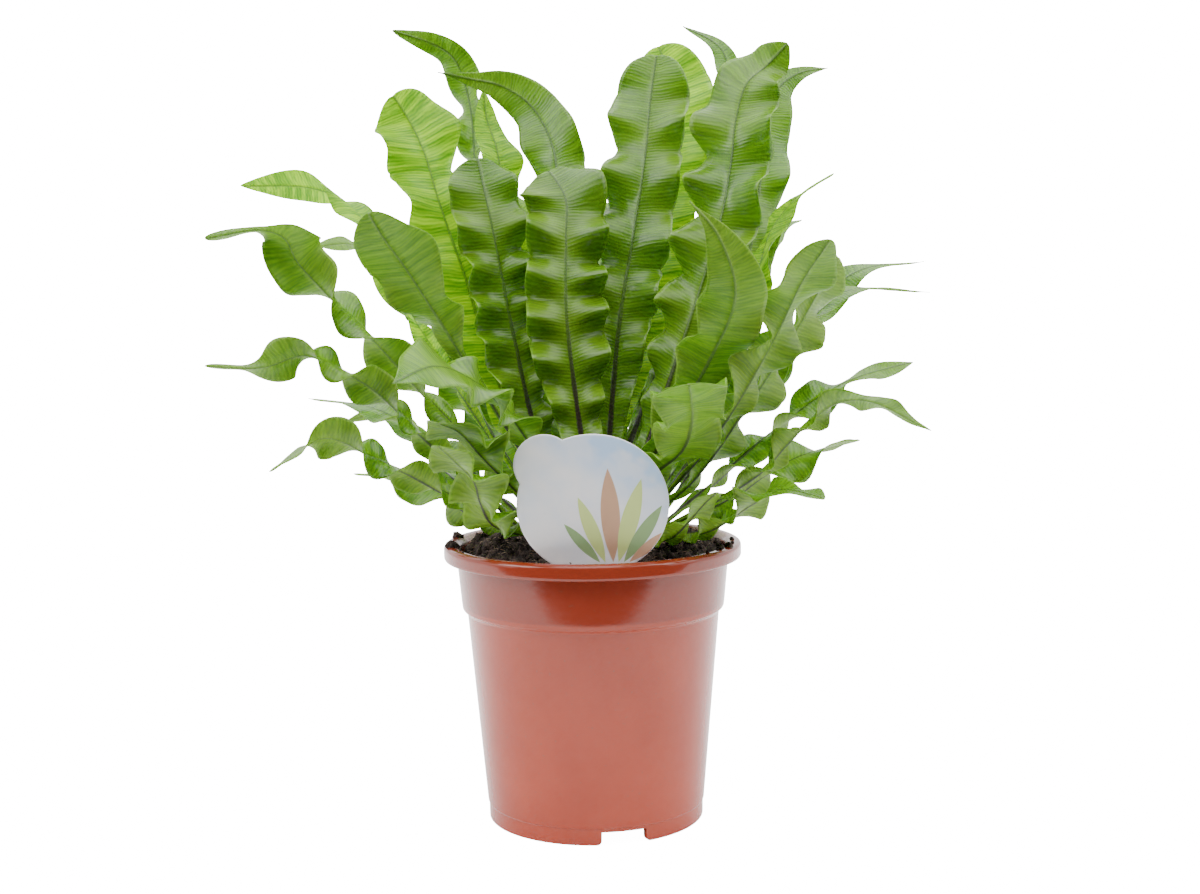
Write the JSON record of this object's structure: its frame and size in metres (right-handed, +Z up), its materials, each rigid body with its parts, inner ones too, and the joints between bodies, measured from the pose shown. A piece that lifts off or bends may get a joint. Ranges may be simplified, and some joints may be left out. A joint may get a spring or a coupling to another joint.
{
  "type": "potted crispy wave bird's nest fern",
  "caption": "Bird's nest fern with waved, strap-shaped fronds in a round plastic nursery pot with soil and a plain care tag; a standing house plant.",
  "frame": {"origin": "on the pot's axis, at the level of the surface that the foot ring stands on", "axes": "+Z up along the pot's axis, -Y towards the front, where the care tag stands"},
  "size_m": [0.2934, 0.2202, 0.3317],
  "materials": {
    "pot_plastic": "glossy moulded terracotta-brown plastic, thin wall, faint dust",
    "peat_soil": "dark brown fibrous peat with crumbs and pale fibres",
    "crown_scales": "dark brown papery scales and root hairs",
    "tag_card": "smooth white plastic card with a soft blue and green print",
    "frond_leaf": "leathery leaf, glossy above and paler and duller below, fine cross veins, lets light through"
  },
  "bodies": {
    "root": {"pot": "pot_plastic", "soil": "peat_soil", "crown": "crown_scales", "care_tag": "tag_card", "frond_centre": "frond_leaf", "frond_centre_left": "frond_leaf", "frond_centre_right": "frond_leaf", "frond_behind_right": "frond_leaf", "frond_back_bright": "frond_leaf", "frond_right_tall": "frond_leaf", "frond_left_bright": "frond_leaf", "frond_back_left_whip": "frond_leaf", "frond_back_arching": "frond_leaf", "frond_back_right_whip": "frond_leaf", "frond_back_right_curl": "frond_leaf", "frond_right_arching": "frond_leaf", "frond_left_oval": "frond_leaf", "frond_right_high": "frond_leaf", "frond_right_broad": "frond_leaf", "frond_right_front": "frond_leaf", "frond_front_curled": "frond_leaf", "frond_left_crumpled": "frond_leaf", "frond_left_front": "frond_leaf", "frond_left_helix_high": "frond_leaf", "frond_left_high": "frond_leaf", "frond_left_back": "frond_leaf", "frond_back_left": "frond_leaf", "frond_back": "frond_leaf", "frond_back_right": "frond_leaf", "frond_right_far_whip": "frond_leaf", "frond_right_far_low": "frond_leaf", "frond_right_low_whip": "frond_leaf", "frond_right_ruffled": "frond_leaf", "frond_right_lowest": "frond_leaf", "frond_right_front_low": "frond_leaf", "frond_front_low": "frond_leaf", "frond_left_helix_low": "frond_leaf", "frond_left_low_whip": "frond_leaf", "frond_left_corrugated": "frond_leaf", "frond_left_lowest": "frond_leaf", "frond_left_back_mid": "frond_leaf", "frond_left_back_low": "frond_leaf", "frond_back_left_low": "frond_leaf", "frond_back_low_left": "frond_leaf", "frond_back_low_right": "frond_leaf", "frond_back_right_low": "frond_leaf"}
  },
  "joints": []
}
